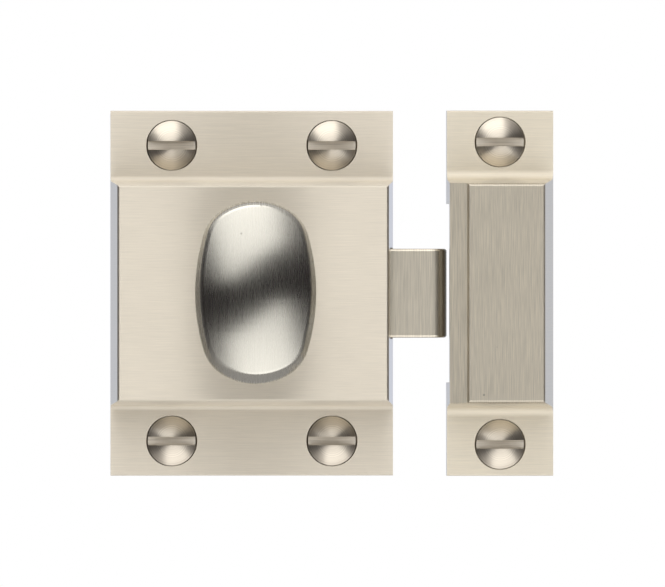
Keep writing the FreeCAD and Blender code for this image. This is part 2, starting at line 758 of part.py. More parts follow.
def make_knob():
    """The oval knob with its neck, collar, spindle and square end, in one piece."""
    body = new_body("turn_knob")
    crease = "(knob_reach - dome_rise)"
    girth = "(knob_reach - dome_rise - band_depth)"
    neck_top = "(knob_reach - dome_rise - band_depth - back_depth)"

    widest = new_sketch(body, "KnobGirth", offset=girth)
    draw_oval(widest)
    band = "(dome_rise + band_depth + cut_margin)"
    band_top = new_sketch(body, "KnobBandTop", offset=f"{girth} + {band}")
    draw_oval(band_top, f"({band} * tan(band_lean * 1deg))", f"({band} * dome_lift / band_depth)")
    front_band = add_feature(body, "AdditiveLoft", "KnobBand", widest)
    front_band.Sections = [band_top]
    front_band.Ruled = True
    doc.recompute()
    back_band = new_sketch(body, "KnobBack", offset=girth)
    draw_oval(back_band)
    pad(body, back_band, "back_depth", backwards=True, lean="-back_lean")

    inset = "(band_depth * tan(band_lean * 1deg))"
    half_width = f"(knob_width / 2 - {inset})"
    half_length = f"(knob_length / 2 - {inset})"
    along = f"(({half_length}^2 + dome_rise^2) / (2 * dome_rise))"
    across = f"(({half_width}^2 + dome_rise^2) / (2 * dome_rise))"
    wide = "(knob_width / 2 + cut_margin)"
    low = f"({across} - sqrt({across}^2 - {wide}^2))"
    dome = new_sketch(body, "KnobDome", "XY_Plane", offset="dome_lift")
    draw_outline(
        dome,
        [
            (f"-{wide}", f"-(knob_reach - {low})"),
            (wide, f"-(knob_reach - {low})"),
            (wide, "-(knob_reach + 3 * cut_margin)"),
            (f"-{wide}", "-(knob_reach + 3 * cut_margin)"),
        ],
        {0: low},
    )
    axis = dome.addGeometry(Part.LineSegment(Vector(-1, 0, 0), Vector(1, 0, 0)), True)
    for point, side in ((1, "-1"), (2, "1")):
        pin_point(dome, axis, point, side, f"-(knob_reach - {along})")
    trim = add_feature(body, "Groove", "KnobDomeTrim", dome)
    trim.ReferenceAxis = (dome, ["Axis0"])
    trim.Angle = 90
    trim.Midplane = True
    before = body.Shape.Volume
    doc.recompute()
    cut_is_real(body, before, "KnobDome")

    beyond_band = -value(f"{girth} + 2 / 3 * band_depth")
    round_edges(
        body,
        "KnobCrease",
        "crease_round",
        lambda middle, ends: middle.y < beyond_band,
    )
    girth_y = -value(girth)
    round_edges(
        body,
        "KnobGirthRound",
        "girth_round",
        lambda middle, ends: near(middle.y, girth_y),
    )
    neck_y = -value(neck_top)
    round_edges(
        body,
        "KnobBackRound",
        "back_round",
        lambda middle, ends: near(middle.y, neck_y),
    )

    collar_back = "(case_height + thrust_thick)"
    collar_front = f"({collar_back} + collar_thick)"
    neck = new_sketch(body, "KnobNeck", "XY_Plane")
    draw_outline(
        neck,
        [
            ("0", f"-({FOLLOWER_BACK} + square_short)"),
            ("0", f"-({neck_top} + neck_root)"),
            ("flare_width / 2", f"-({neck_top} + neck_root)"),
            ("collar_width / 2 - collar_step", f"-{collar_front}"),
            ("collar_width / 2", f"-{collar_front}"),
            ("collar_width / 2", f"-{collar_back}"),
            ("spindle_width / 2", f"-{collar_back}"),
            ("spindle_width / 2", f"-({FOLLOWER_BACK} + square_short)"),
        ],
        {2: "-neck_hollow", 4: "collar_bead"},
    )
    revolve(body, neck)
    return body


def finish_spindle(body):
    """File the spindle's end square and drill it for the screw."""
    flats = new_sketch(body, "SpindleFlats", offset=SHOULDER, turn="turn_angle / 2")
    draw_box(flats, "-spindle_width", "spindle_width", "-spindle_width", "spindle_width")
    half = "(square_width / 2)"
    draw_box(flats, f"-{half}", half, f"-{half}", half)
    pocket(body, flats, "follower_thick + cut_margin")
    drilled = new_sketch(body, "SpindleHole")
    draw_circle(drilled, "0", "0", "lock_shank_width + 2 * screw_gap")
    pocket(body, drilled, f"{FOLLOWER_BACK} + lock_screw_length + square_short", forwards=True)


def make_ring(label, near_depth, thickness, outer, inner):
    """A flat washer on the knob's axis."""
    body = new_body(label)
    outline = new_sketch(body, label.title().replace("_", ""), offset=near_depth)
    draw_circle(outline, "0", "0", outer)
    draw_circle(outline, "0", "0", inner)
    pad(body, outline, thickness)
    return body


def make_lock_screw():
    """The slotted screw in the spindle's end that holds the follower."""
    body = new_body("follower_screw")
    seat = f"({FOLLOWER_BACK} - lock_washer_thick)"
    head_end = f"({seat} - lock_head_height)"
    profile = new_sketch(body, "LockScrewProfile", "XY_Plane")
    draw_outline(
        profile,
        [
            ("0", f"-{head_end}"),
            ("lock_head_width / 2 - lock_head_chamfer", f"-{head_end}"),
            ("lock_head_width / 2", f"-({head_end} + lock_head_chamfer)"),
            ("lock_head_width / 2", f"-{seat}"),
            ("lock_shank_width / 2", f"-{seat}"),
            ("lock_shank_width / 2", f"-({seat} + lock_screw_length)"),
            ("0", f"-({seat} + lock_screw_length)"),
        ],
    )
    revolve(body, profile)
    slot = new_sketch(body, "LockScrewSlot", offset=head_end)
    draw_box(
        slot,
        "-lock_head_width / 2",
        "lock_head_width / 2",
        "-lock_slot_width / 2",
        "lock_slot_width / 2",
    )
    pocket(body, slot, "lock_slot_depth", forwards=True)
    return body


# The wood screws and the keep


def make_wood_screw(label, across, up):
    """A slotted wood screw with a raised countersunk head, seated in its flange."""
    body = new_body(label, across, "flange_thick", up)
    profile = new_sketch(body, "Profile_" + label, "XY_Plane")
    sink = "((wood_head - wood_shank) / 2)"
    draw_outline(
        profile,
        [
            ("0", "wood_length"),
            ("0", "-wood_dome"),
            ("wood_head / 2", "0"),
            ("wood_shank / 2", sink),
            ("wood_shank / 2", "wood_plain"),
            ("wood_thread / 2", "wood_plain"),
            ("wood_thread / 2", "wood_length - wood_point"),
        ],
        {1: cap_bulge("wood_head", "wood_dome")},
    )
    revolve(body, profile)
    slot = new_sketch(body, "Slot_" + label, offset="wood_dome")
    draw_box(
        slot,
        "-wood_head / 2",
        "wood_head / 2",
        "-wood_slot_width / 2",
        "wood_slot_width / 2",
    )
    pocket(body, slot, "wood_slot_depth")
    return body


def keep_screw_places():
    """The heights of the keep's two screws, the upper one first."""
    up = "(keep_length / 2 - keep_screw_inset)"
    return [up, "-" + up]


def make_keep():
    """The keep: a block on two flanges, open at its left side and back, with a ramp along its lip."""
    body = new_body("keep", KEEP_X)
    foot = "(keep_length / 2 - keep_flange - keep_cove)"
    profile = new_sketch(body, "KeepProfile", "YZ_Plane")
    draw_outline(
        profile,
        [
            ("0", "-keep_length / 2"),
            ("0", "keep_length / 2"),
            ("-flange_thick", "keep_length / 2"),
            ("-flange_thick", foot),
            ("-keep_height", f"{foot} - keep_slope"),
            ("-keep_height", f"-{foot} + keep_slope"),
            ("-flange_thick", f"-{foot}"),
            ("-flange_thick", "-keep_length / 2"),
        ],
    )
    pad(body, profile, "keep_width")
    for name, base, top in (
        ("KeepRightDraft", "keep_width", "keep_width - keep_draft"),
        ("KeepLeftDraft", "0", "keep_mouth_draft"),
    ):
        wedge = new_sketch(body, name, "XY_Plane")
        draw_outline(wedge, [(base, "-flange_thick"), (top, "-keep_height"), (base, "-keep_height")])
        pocket(body, wedge, "keep_length", both_ways=True)
    foot_z = value(foot)
    middle_x = value("keep_width / 2")
    round_edges(
        body,
        "KeepCove",
        "keep_cove / tan((90deg - atan(keep_slope / (keep_height - flange_thick))) / 2)",
        lambda middle, ends: near(middle.y, -value("flange_thick"))
        and near(abs(middle.z), foot_z)
        and near(middle.x, middle_x),
    )
    ramp = new_sketch(body, "KeepRamp", "XY_Plane")
    draw_outline(
        ramp,
        [
            ("0", "-ramp_low"),
            ("ramp_width", "-ramp_high"),
            ("ramp_width", "-keep_height"),
            ("0", "-keep_height"),
        ],
    )
    pocket(body, ramp, "keep_length", both_ways=True)
    round_edges(
        body,
        "KeepFaceRound",
        "face_round",
        lambda middle, ends: near(middle.y, -value("keep_height")),
    )
    round_edges(
        body,
        "KeepStepFoot",
        "step_round",
        lambda middle, ends: near(middle.x, value("ramp_width"))
        and near(middle.y, -value("ramp_high")),
    )
    outer_z = value("keep_length / 2")
    round_edges(
        body,
        "KeepRimRound",
        "rim_round",
        lambda middle, ends: near(middle.y, -value("flange_thick"))
        and near(abs(middle.z), outer_z),
    )
    mouth = new_sketch(body, "KeepMouth")
    draw_box(mouth, "-cut_margin", "keep_width - keep_wall", "-mouth_length / 2", "mouth_length / 2")
    pocket(body, mouth, LIP_UNDERSIDE, forwards=True)
    inner_x = value("keep_width - keep_wall")
    mouth_z = value("mouth_length / 2")
    round_edges(
        body,
        "MouthCorners",
        "core_round",
        lambda middle, ends: near(middle.x, inner_x)
        and near(abs(middle.z), mouth_z)
        and not near(ends[0].y, ends[-1].y),
    )
    places = new_sketch(body, "KeepScrewPlaces", offset="flange_thick")
    for up in keep_screw_places():
        draw_circle(places, "keep_width / 2", up, "wood_shank + 2 * shank_gap")
    holes(body, places, "wood_shank + 2 * shank_gap", "wood_head + 2 * head_gap")
    return body


# Every piece, in the order it would be laid out on the bench


def make_all():
    """All the pieces, each its own body."""
    pieces = [make_case(), make_back_plate()]
    for number, (across, up) in enumerate(plate_screw_places(), start=1):
        pieces.append(make_plate_screw(number, across, up))
    knob = make_knob()
    finish_spindle(knob)
    pieces.append(knob)
    pieces.append(
        make_ring(
            "knob_washer",
            "case_height",
            "thrust_thick",
            "thrust_width",
            "spindle_width + 4 * spindle_gap",
        )
    )
    pieces.append(make_follower())
    pieces.append(
        make_ring(
            "follower_washer",
            f"{FOLLOWER_BACK} - lock_washer_thick",
            "lock_washer_thick",
            "lock_washer_width",
            "lock_shank_width + 4 * screw_gap",
        )
    )
    pieces.append(make_lock_screw())
    pieces.append(make_bolt())
    pieces.append(make_spring())
    for number, (across, up) in enumerate(case_screw_places(), start=1):
        pieces.append(make_wood_screw(f"case_screw_{number}", across, up))
    pieces.append(make_keep())
    for number, up in enumerate(keep_screw_places(), start=1):
        across = f"{KEEP_X} + keep_width / 2"
        pieces.append(make_wood_screw(f"keep_screw_{number}", across, up))
    return pieces


def check(pieces):
    """Stop if anything failed to build, then say what each piece is."""
    for thing in doc.Objects:
        if "Invalid" in thing.State or "Error" in thing.State:
            raise RuntimeError(f"{thing.Label} did not build: {thing.State}")
    for piece in pieces:
        shape = piece.Shape
        if shape.isNull() or not shape.isValid() or len(shape.Solids) != 1:
            raise RuntimeError(f"{piece.Label} is not one sound solid")
        box = shape.optimalBoundingBox(False)
        print(
            f"{piece.Label:20s} volume {shape.Volume:9.2f}  x {box.XMin:7.2f} {box.XMax:7.2f}"
            f"  y {box.YMin:7.2f} {box.YMax:7.2f}  z {box.ZMin:7.2f} {box.ZMax:7.2f}"
        )


pieces = make_all()
doc.recompute()
check(pieces)
os.makedirs("parts", exist_ok=True)
for piece in pieces:
    piece.Shape.exportStep(f"parts/{piece.Label}.step")
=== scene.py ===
# %% [markdown]
# A surface-mounted cupboard latch, dressed for a studio photograph.
#
# The latch is a cast brass case with a turning oval knob, a sprung bolt and a separate hollow keep.
# All of it is nickel plated and brushed, and its six wood screws have turned heads. The exact
# solids come in as a fixed frame, in metres, with +Z up, the fronts facing -Y and the bolt pointing
# to +X. Everything below either gives those solids a finish or stands in for one of them with a
# finer mesh.

# %% Load the solids
import math

import bmesh
import bpy
from mathutils import Matrix, Vector


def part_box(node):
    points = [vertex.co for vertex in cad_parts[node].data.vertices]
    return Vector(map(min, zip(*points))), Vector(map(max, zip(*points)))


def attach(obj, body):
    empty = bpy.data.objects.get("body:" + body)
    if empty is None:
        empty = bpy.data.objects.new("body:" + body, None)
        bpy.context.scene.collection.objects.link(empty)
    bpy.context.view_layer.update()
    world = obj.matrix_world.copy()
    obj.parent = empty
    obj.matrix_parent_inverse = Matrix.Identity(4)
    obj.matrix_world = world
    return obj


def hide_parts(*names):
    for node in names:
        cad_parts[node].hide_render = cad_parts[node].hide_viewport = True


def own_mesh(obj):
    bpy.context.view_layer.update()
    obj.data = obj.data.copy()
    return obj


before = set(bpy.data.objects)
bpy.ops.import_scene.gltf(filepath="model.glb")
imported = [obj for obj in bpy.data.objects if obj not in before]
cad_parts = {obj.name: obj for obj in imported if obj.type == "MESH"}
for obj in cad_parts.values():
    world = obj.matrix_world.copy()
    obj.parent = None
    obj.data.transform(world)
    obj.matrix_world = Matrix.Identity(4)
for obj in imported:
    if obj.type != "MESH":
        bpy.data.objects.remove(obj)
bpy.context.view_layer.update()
scene = bpy.context.scene
MM = 0.001

# %% [markdown]
# The camera stands far off with a long lens, as for a catalogue picture: parallel edges stay
# parallel and the front faces show almost square on. Both side walls of the case still show as thin
# strips, the left one wider, which puts the camera about two degrees to the left. Its aim is worked
# out from the field of view and from where the knob's axis lies in the picture, in pixels from the
# picture's top left corner.

# %% Camera
PICTURE_WIDTH = 665
PICTURE_HEIGHT = 587
FIELD_WIDTH = 93.0 * MM
PIXEL = FIELD_WIDTH / PICTURE_WIDTH
KNOB_AXIS_PIXEL = (251.8, 293.2)
FLANGE_DEPTH = 2.4 * MM
CAMERA_DISTANCE = 1300 * MM
CAMERA_YAW = math.radians(2.0)
SENSOR = 36.0
NEAREST_SEEN = 0.05
FARTHEST_SEEN = 20

aim = Vector(
    (
        (PICTURE_WIDTH / 2 - KNOB_AXIS_PIXEL[0]) * PIXEL,
        -FLANGE_DEPTH,
        (KNOB_AXIS_PIXEL[1] - PICTURE_HEIGHT / 2) * PIXEL,
    )
)
back = Vector((-math.sin(CAMERA_YAW), -math.cos(CAMERA_YAW), 0))
camera_data = bpy.data.cameras.new("long_lens")
camera_data.sensor_width = SENSOR
camera_data.lens = SENSOR * CAMERA_DISTANCE / FIELD_WIDTH
camera_data.clip_start = NEAREST_SEEN
camera_data.clip_end = FARTHEST_SEEN
camera = bpy.data.objects.new("long_lens", camera_data)
camera.location = aim + back * CAMERA_DISTANCE
camera.rotation_mode = "QUATERNION"
camera.rotation_quaternion = (-back).to_track_quat("-Z", "Y")
scene.collection.objects.link(camera)
scene.camera = camera
print(f"lens {camera_data.lens:.0f} mm, aimed at {[round(c / MM, 2) for c in aim]} mm")

# %% [markdown]
# Brushed metal shows little but its surroundings, so the surroundings are the picture. The dark bar
# across the middle of the knob is the unlit room round the camera; the bright ends are two
# softboxes, one above and one below. They are narrow, so the knob's sides go dark as well, and the
# bar leans, so both are turned together about the line of sight and spun a little on their stands.
# Behind the object the room is pale and slightly blue, which is what the steep side walls mirror.
# The camera itself sees plain white.
#
# All the shader trees below are built with one small function, which makes a node, sets it and
# links it.

# %% One function for every shader node
def add_node(tree, kind, settings=None, links=None):
    """Add a node, set its properties and sockets, and feed inputs; a socket goes by name or number."""
    made = tree.nodes.new(kind)
    for name, setting in (settings or {}).items():
        if isinstance(name, str) and hasattr(made, name):
            setattr(made, name, setting)
        else:
            made.inputs[name].default_value = setting
    for name, source in (links or {}).items():
        tree.links.new(source, made.inputs[name])
    return made


def to_linear(code):
    """An sRGB hex code as linear red, green, blue and full alpha."""
    shares = [int(code[place : place + 2], 16) / 255 for place in (1, 3, 5)]
    return [s / 12.92 if s <= 0.04045 else ((s + 0.055) / 1.055) ** 2.4 for s in shares] + [1.0]


# %% The room: dim in front and at the sides, pale behind, an even grey above and below
BACKDROP = "#FFFFFF"
ABOVE_AND_BELOW = "#B2B0B0"
LEVEL_UP_TO = 0.3
STEEP_FROM = 0.8
ROOM_STRENGTH = 1.08
SLANT = (0.08, 1.0, -0.1)
ROOM_TONES = [
    (-1.0, "#1E1A1C"),
    (-0.3, "#242022"),
    (0.1, "#454243"),
    (0.75, "#6B6A69"),
    (0.9, "#BEC1C6"),
    (1.0, "#DEE5F6"),
]

scene.view_settings.view_transform = "Standard"
world = bpy.data.worlds.new("studio")
world.use_nodes = True
scene.world = world
room = world.node_tree
room.nodes.clear()
direction = add_node(room, "ShaderNodeTexCoord")
toward_back = add_node(
    room,
    "ShaderNodeVectorMath",
    {"operation": "DOT_PRODUCT", 1: SLANT},
    {0: direction.outputs["Generated"]},
)
share = add_node(
    room,
    "ShaderNodeMapRange",
    {"From Min": -1.0, "From Max": 1.0},
    {"Value": toward_back.outputs["Value"]},
)
tones = add_node(room, "ShaderNodeValToRGB", links={"Fac": share.outputs["Result"]})
stops = tones.color_ramp.elements
while len(stops) < len(ROOM_TONES):
    stops.new(0.5)
for stop, (facing, tone) in zip(stops, ROOM_TONES):
    stop.position = (facing + 1) / 2
    stop.color = to_linear(tone)
level = add_node(
    room, "ShaderNodeBackground", {"Strength": ROOM_STRENGTH}, {"Color": tones.outputs["Color"]}
)
steep = add_node(room, "ShaderNodeBackground", {"Color": to_linear(ABOVE_AND_BELOW), "Strength": 1.0})
seen = add_node(room, "ShaderNodeBackground", {"Color": to_linear(BACKDROP), "Strength": 1.0})
either_way = add_node(
    room, "ShaderNodeVectorMath", {"operation": "ABSOLUTE"}, {0: direction.outputs["Generated"]}
)
parts = add_node(room, "ShaderNodeSeparateXYZ", links={"Vector": either_way.outputs["Vector"]})
off_level = add_node(
    room,
    "ShaderNodeMapRange",
    {"From Min": LEVEL_UP_TO, "From Max": STEEP_FROM},
    {"Value": parts.outputs["Z"]},
)
mirrored = add_node(
    room,
    "ShaderNodeMixShader",
    links={
        0: off_level.outputs["Result"],
        1: level.outputs["Background"],
        2: steep.outputs["Background"],
    },
)
rays = add_node(room, "ShaderNodeLightPath")
all_rays = add_node(
    room,
    "ShaderNodeMixShader",
    links={
        0: rays.outputs["Is Camera Ray"],
        1: mirrored.outputs["Shader"],
        2: seen.outputs["Background"],
    },
)
add_node(room, "ShaderNodeOutputWorld", links={"Surface": all_rays.outputs["Shader"]})
print("room tones:", ROOM_TONES)

# %% [markdown]
# Each softbox is a flat area lamp, given by the angles of its two edges above the line of sight,
# because that is where its image starts and stops on the knob. The one above is a little brighter
# in its upper half, so a second lamp covers that part again. A faint one overhead lights the part
# for views from the sides.

# %% The softboxes
SOFTBOX_DISTANCE = 0.7
SOFTBOX_LEAN = math.radians(15)
SOFTBOX_SPIN = math.radians(4)
BOXES = {
    "softbox_above": {"low": 10.5, "high": 74.0, "width": 0.84, "radiance": 1.6},
    "softbox_above_core": {"low": 45.0, "high": 80.0, "width": 0.74, "radiance": 0.4},
    "softbox_below": {"low": -72.0, "high": -11.5, "width": 0.82, "radiance": 1.47},
    "softbox_overhead": {"low": 84.0, "high": 130.0, "width": 1.6, "radiance": 0.35},
}


def add_softbox(name, low, high, width, radiance):
    """A flat lamp whose lower and upper edges stand at two angles above the line of sight."""
    middle = math.radians((low + high) / 2)
    half = math.radians(high - low) / 2
    toward = Vector((0, -math.cos(middle), math.sin(middle)))
    height = 2 * SOFTBOX_DISTANCE * math.tan(half)
    data = bpy.data.lights.new(name, "AREA")
    data.shape = "RECTANGLE"
    data.size = width
    data.size_y = height
    data.energy = radiance * math.pi * width * height
    lamp = bpy.data.objects.new(name, data)
    lean = Matrix.Rotation(SOFTBOX_LEAN, 4, Vector((0, -1, 0)))
    stand = Matrix.Translation(toward * SOFTBOX_DISTANCE)
    facing_part = toward.to_track_quat("Z", "Y").to_matrix().to_4x4()
    spin = Matrix.Rotation(SOFTBOX_SPIN, 4, "Z")
    lamp.matrix_world = lean @ stand @ facing_part @ spin
    lamp.visible_camera = False
    scene.collection.objects.link(lamp)
    print(f"{name}: {width:.2f} by {height:.2f} m, {data.energy:.2f} W")


for name, box in BOXES.items():
    add_softbox(name, **box)

# %% [markdown]
# The floor is a plain pale sheet. It lies well below the part, so it neither cuts through the
# screws nor shows from the front. Glossy rays and shadow rays pass it by: a pale floor would light
# the knob's lower edge, and the lower softbox stands beneath it.

# %% The floor
FLOOR_DROP = 120 * MM
FLOOR_WIDTH = 3.0
FLOOR_COLOUR = "#EDEDEB"
FLOOR_ROUGHNESS = 0.9
shape = bmesh.new()
bmesh.ops.create_grid(shape, x_segments=1, y_segments=1, size=FLOOR_WIDTH / 2)
bmesh.ops.translate(shape, verts=shape.verts, vec=(0, 0, -FLOOR_DROP))
floor_mesh = bpy.data.meshes.new("floor")
shape.to_mesh(floor_mesh)
shape.free()
floor = bpy.data.objects.new("floor", floor_mesh)
scene.collection.objects.link(floor)
floor.visible_glossy = False
floor.visible_shadow = False
paint = bpy.data.materials.new("floor_matt_white_paint")
paint.use_nodes = True
matt = paint.node_tree.nodes["Principled BSDF"]
matt.inputs["Base Color"].default_value = to_linear(FLOOR_COLOUR)
matt.inputs["Roughness"].default_value = FLOOR_ROUGHNESS
floor_mesh.materials.append(paint)
print("floor", FLOOR_DROP / MM, "mm below the knob's axis")

# %% [markdown]
# The finish is satin nickel: plate that was brushed with a fine abrasive belt, so every face
# carries parallel scratches. They run across the case and all the flanges, and upright on the knob,
# the bolt and the keep's raised block. Light spreads at right angles to a scratch, so a face with
# scratches across it picks up the softboxes above and below and looks bright, while an upright one
# keeps more of the dark room.
#
# Three ways to get that spread would be a bump map of every scratch, a picture of brushed metal, or
# an anisotropic shader. The scratches are far thinner than a pixel, so the shader is the true one:
# it says how far light spreads along one direction and across it. Its tangent is set here at right
# angles to the scratches, because that is the way the highlight is stretched. A few faint scratches
# are drawn as well, so that the eye finds the direction: real ones are a few hundredths of a
# millimetre wide, too fine to show, so they are drawn 0.1 mm wide and a few millimetres long. A
# slow cloudiness and a few pits stand for the casting. The belt doesn't press as hard on the case's
# and the keep's steep side walls, so those are smoother, and their scratches run from front to
# back.
#
# A noise texture stays close to its middle value, so only the span from 0.3 to 0.7 of it is spread
# out over a tone or a gloss.

# %% Brushed nickel
LINE_WIDTH = 0.1 * MM
LINE_LENGTH = 4.5 * MM
CONTRAST_ACROSS = 0.06
NEVER_STEEP = 2.0
NOISE_SPAN = {"From Min": 0.3, "From Max": 0.7}
TURNED_WALL = {"from": 0.6, "to": 0.9, "roughness": 0.3, "tone": 1.0}
# The nose's tone of 0.68 is painted shade: faces turned to the side are darkened to stand for the dark
# room they mirror.
TURNED_NOSE = {"from": 0.0, "to": 0.8, "roughness": 0.2, "tone": 0.68}
TURNED_KNOB = {"from": 0.0, "to": 1.0, "roughness": 0.27, "tone": 1.0}
STEEP = 0.8
CLOUD_SIZE = 9.0 * MM
PIT_SPACING = 4.0 * MM
PIT_SIZE = 0.05
PIT_SHARE = 0.5
PIT_DARKENING = 0.35
ALWAYS = -1.0
NEVER = 1.0


def brushed_nickel(
    name,
    colour,
    roughness,
    anisotropy,
    contrast,
    depth,
    across_beyond,
    walls=True,
    turned=TURNED_WALL,
):
    """Scratches run along X beyond a height from the part's middle and upright within it.

    With walls, they run from front to back on steep side walls. The dictionary turned says between
    which shares of sideways turn a face changes, and the roughness and tone that it then has; a
    tone below one is painted shade.
    """
    material = bpy.data.materials.new(name)
    material.use_nodes = True
    tree = material.node_tree
    tree.nodes.clear()
    on_piece = add_node(tree, "ShaderNodeTexCoord")
    place = on_piece.outputs["Object"]
    spot = add_node(tree, "ShaderNodeVectorMath", {"operation": "ABSOLUTE"}, {0: place})
    where = add_node(tree, "ShaderNodeSeparateXYZ", links={"Vector": spot.outputs["Vector"]})
    lean = add_node(
        tree, "ShaderNodeVectorMath", {"operation": "ABSOLUTE"}, {0: on_piece.outputs["Normal"]}
    )
    facing = add_node(tree, "ShaderNodeSeparateXYZ", links={"Vector": lean.outputs["Vector"]})
    wall = add_node(
        tree,
        "ShaderNodeMath",
        {"operation": "GREATER_THAN", 1: STEEP if walls else NEVER_STEEP},
        {0: facing.outputs["X"]},
    )
    outer = add_node(
        tree, "ShaderNodeMath", {"operation": "GREATER_THAN", 1: across_beyond}, {0: where.outputs["Z"]}
    )
    across = add_node(
        tree,
        "ShaderNodeMath",
        {"operation": "MAXIMUM"},
        {0: outer.outputs["Value"], 1: wall.outputs["Value"]},
    )

    along_x = add_node(
        tree,
        "ShaderNodeMapRange",
        {"To Min": 1 / LINE_WIDTH, "To Max": 1 / LINE_LENGTH},
        {"Value": across.outputs["Value"]},
    )
    along_z = add_node(
        tree,
        "ShaderNodeMapRange",
        {"To Min": 1 / LINE_LENGTH, "To Max": 1 / LINE_WIDTH},
        {"Value": across.outputs["Value"]},
    )
    in_a_cove = add_node(
        tree,
        "ShaderNodeMath",
        {"operation": "SUBTRACT"},
        {0: outer.outputs["Value"], 1: wall.outputs["Value"]},
    )
    along_y = add_node(
        tree,
        "ShaderNodeMapRange",
        {"To Min": 1 / LINE_LENGTH, "To Max": 1 / LINE_WIDTH},
        {"Value": in_a_cove.outputs["Value"]},
    )
    stretch = add_node(
        tree,
        "ShaderNodeCombineXYZ",
        links={
            "X": along_x.outputs["Result"],
            "Y": along_y.outputs["Result"],
            "Z": along_z.outputs["Result"],
        },
    )
    drawn_out = add_node(
        tree,
        "ShaderNodeVectorMath",
        {"operation": "MULTIPLY"},
        {0: place, 1: stretch.outputs["Vector"]},
    )
    lines = add_node(
        tree,
        "ShaderNodeTexNoise",
        {"Scale": 0.9, "Detail": 2.0, "Roughness": 0.7},
        {"Vector": drawn_out.outputs["Vector"]},
    )
    cloud = add_node(
        tree, "ShaderNodeTexNoise", {"Scale": 1 / CLOUD_SIZE, "Detail": 2.0}, {"Vector": place}
    )
    pits = add_node(
        tree,
        "ShaderNodeTexVoronoi",
        {"voronoi_dimensions": "3D", "Scale": 1 / PIT_SPACING},
        {"Vector": place},
    )
    pit_kind = add_node(tree, "ShaderNodeSeparateColor", links={"Color": pits.outputs["Color"]})
    pitted = add_node(
        tree, "ShaderNodeMath", {"operation": "LESS_THAN", 1: PIT_SHARE}, {0: pit_kind.outputs["Red"]}
    )
    pit_depth = add_node(
        tree,
        "ShaderNodeMapRange",
        {
            "From Min": PIT_SIZE,
            "From Max": PIT_SIZE / 2,
            "To Min": 0.0,
            "To Max": PIT_DARKENING,
        },
        {"Value": pits.outputs["Distance"]},
    )
    pit = add_node(
        tree,
        "ShaderNodeMath",
        {"operation": "MULTIPLY"},
        {0: pit_depth.outputs["Result"], 1: pitted.outputs["Value"]},
    )

    swing = add_node(
        tree,
        "ShaderNodeMapRange",
        {**NOISE_SPAN, "To Min": -1.0, "To Max": 1.0},
        {"Value": lines.outputs["Fac"]},
    )
    contrast_here = add_node(
        tree,
        "ShaderNodeMapRange",
        {"To Min": contrast, "To Max": CONTRAST_ACROSS},
        {"Value": across.outputs["Value"]},
    )
    line_tone = add_node(
        tree,
        "ShaderNodeMath",
        {"operation": "MULTIPLY_ADD", 2: 1.0},
        {0: swing.outputs["Result"], 1: contrast_here.outputs["Result"]},
    )
    cloud_tone = add_node(
        tree,
        "ShaderNodeMapRange",
        {**NOISE_SPAN, "To Min": 0.98, "To Max": 1.01},
        {"Value": cloud.outputs["Fac"]},
    )
    both_tones = add_node(
        tree,
        "ShaderNodeMath",
        {"operation": "MULTIPLY"},
        {0: line_tone.outputs["Value"], 1: cloud_tone.outputs["Result"]},
    )
    pitted_tone = add_node(
        tree,
        "ShaderNodeMath",
        {"operation": "SUBTRACT"},
        {0: both_tones.outputs["Value"], 1: pit.outputs["Value"]},
    )
    # Painted shade: faces turned to the side are multiplied by the turned tone, which darkens the
    # bolt's nose.
    painted_turn_shade = add_node(
        tree,
        "ShaderNodeMapRange",
        {
            "From Min": turned["from"],
            "From Max": turned["to"],
            "To Min": 1.0,
            "To Max": turned["tone"],
        },
        {"Value": facing.outputs["X"]},
    )
    tone = add_node(
        tree,
        "ShaderNodeMath",
        {"operation": "MULTIPLY"},
        {0: pitted_tone.outputs["Value"], 1: painted_turn_shade.outputs["Result"]},
    )
    colour_here = add_node(
        tree, "ShaderNodeVectorMath", {"operation": "SCALE"}, {"Scale": tone.outputs["Value"]}
    )
    colour_here.inputs["Vector"].default_value = to_linear(colour)[:3]
    reached = add_node(
        tree,
        "ShaderNodeMapRange",
        {
            "From Min": turned["from"],
            "From Max": turned["to"],
            "To Min": roughness,
            "To Max": turned["roughness"],
        },
        {"Value": facing.outputs["X"]},
    )
    line_gloss = add_node(
        tree,
        "ShaderNodeMapRange",
        {**NOISE_SPAN, "To Min": 0.94, "To Max": 1.06},
        {"Value": lines.outputs["Fac"]},
    )
    rough_here = add_node(
        tree,
        "ShaderNodeMath",
        {"operation": "MULTIPLY"},
        {0: reached.outputs["Result"], 1: line_gloss.outputs["Result"]},
    )
    ridges = add_node(
        tree,
        "ShaderNodeBump",
        {"Strength": 1.0, "Distance": depth},
        {"Height": lines.outputs["Fac"]},
    )
    upright = add_node(
        tree,
        "ShaderNodeMath",
        {"operation": "SUBTRACT", 0: 1.0},
        {1: across.outputs["Value"]},
    )
    spread = add_node(
        tree,
        "ShaderNodeCombineXYZ",
        links={"X": upright.outputs["Value"], "Z": across.outputs["Value"]},
    )
    spread_in_room = add_node(
        tree,
        "ShaderNodeVectorTransform",
        {"vector_type": "VECTOR", "convert_from": "OBJECT", "convert_to": "WORLD"},
        {"Vector": spread.outputs["Vector"]},
    )
    metal = add_node(
        tree,
        "ShaderNodeBsdfPrincipled",
        {"Metallic": 1.0, "Anisotropic": anisotropy},
        {
            "Base Color": colour_here.outputs["Vector"],
            "Roughness": rough_here.outputs["Value"],
            "Normal": ridges.outputs["Normal"],
            "Tangent": spread_in_room.outputs["Vector"],
        },
    )
    add_node(tree, "ShaderNodeOutputMaterial", links={"Surface": metal.outputs["BSDF"]})
    print(name, colour, "roughness", roughness)
    return material
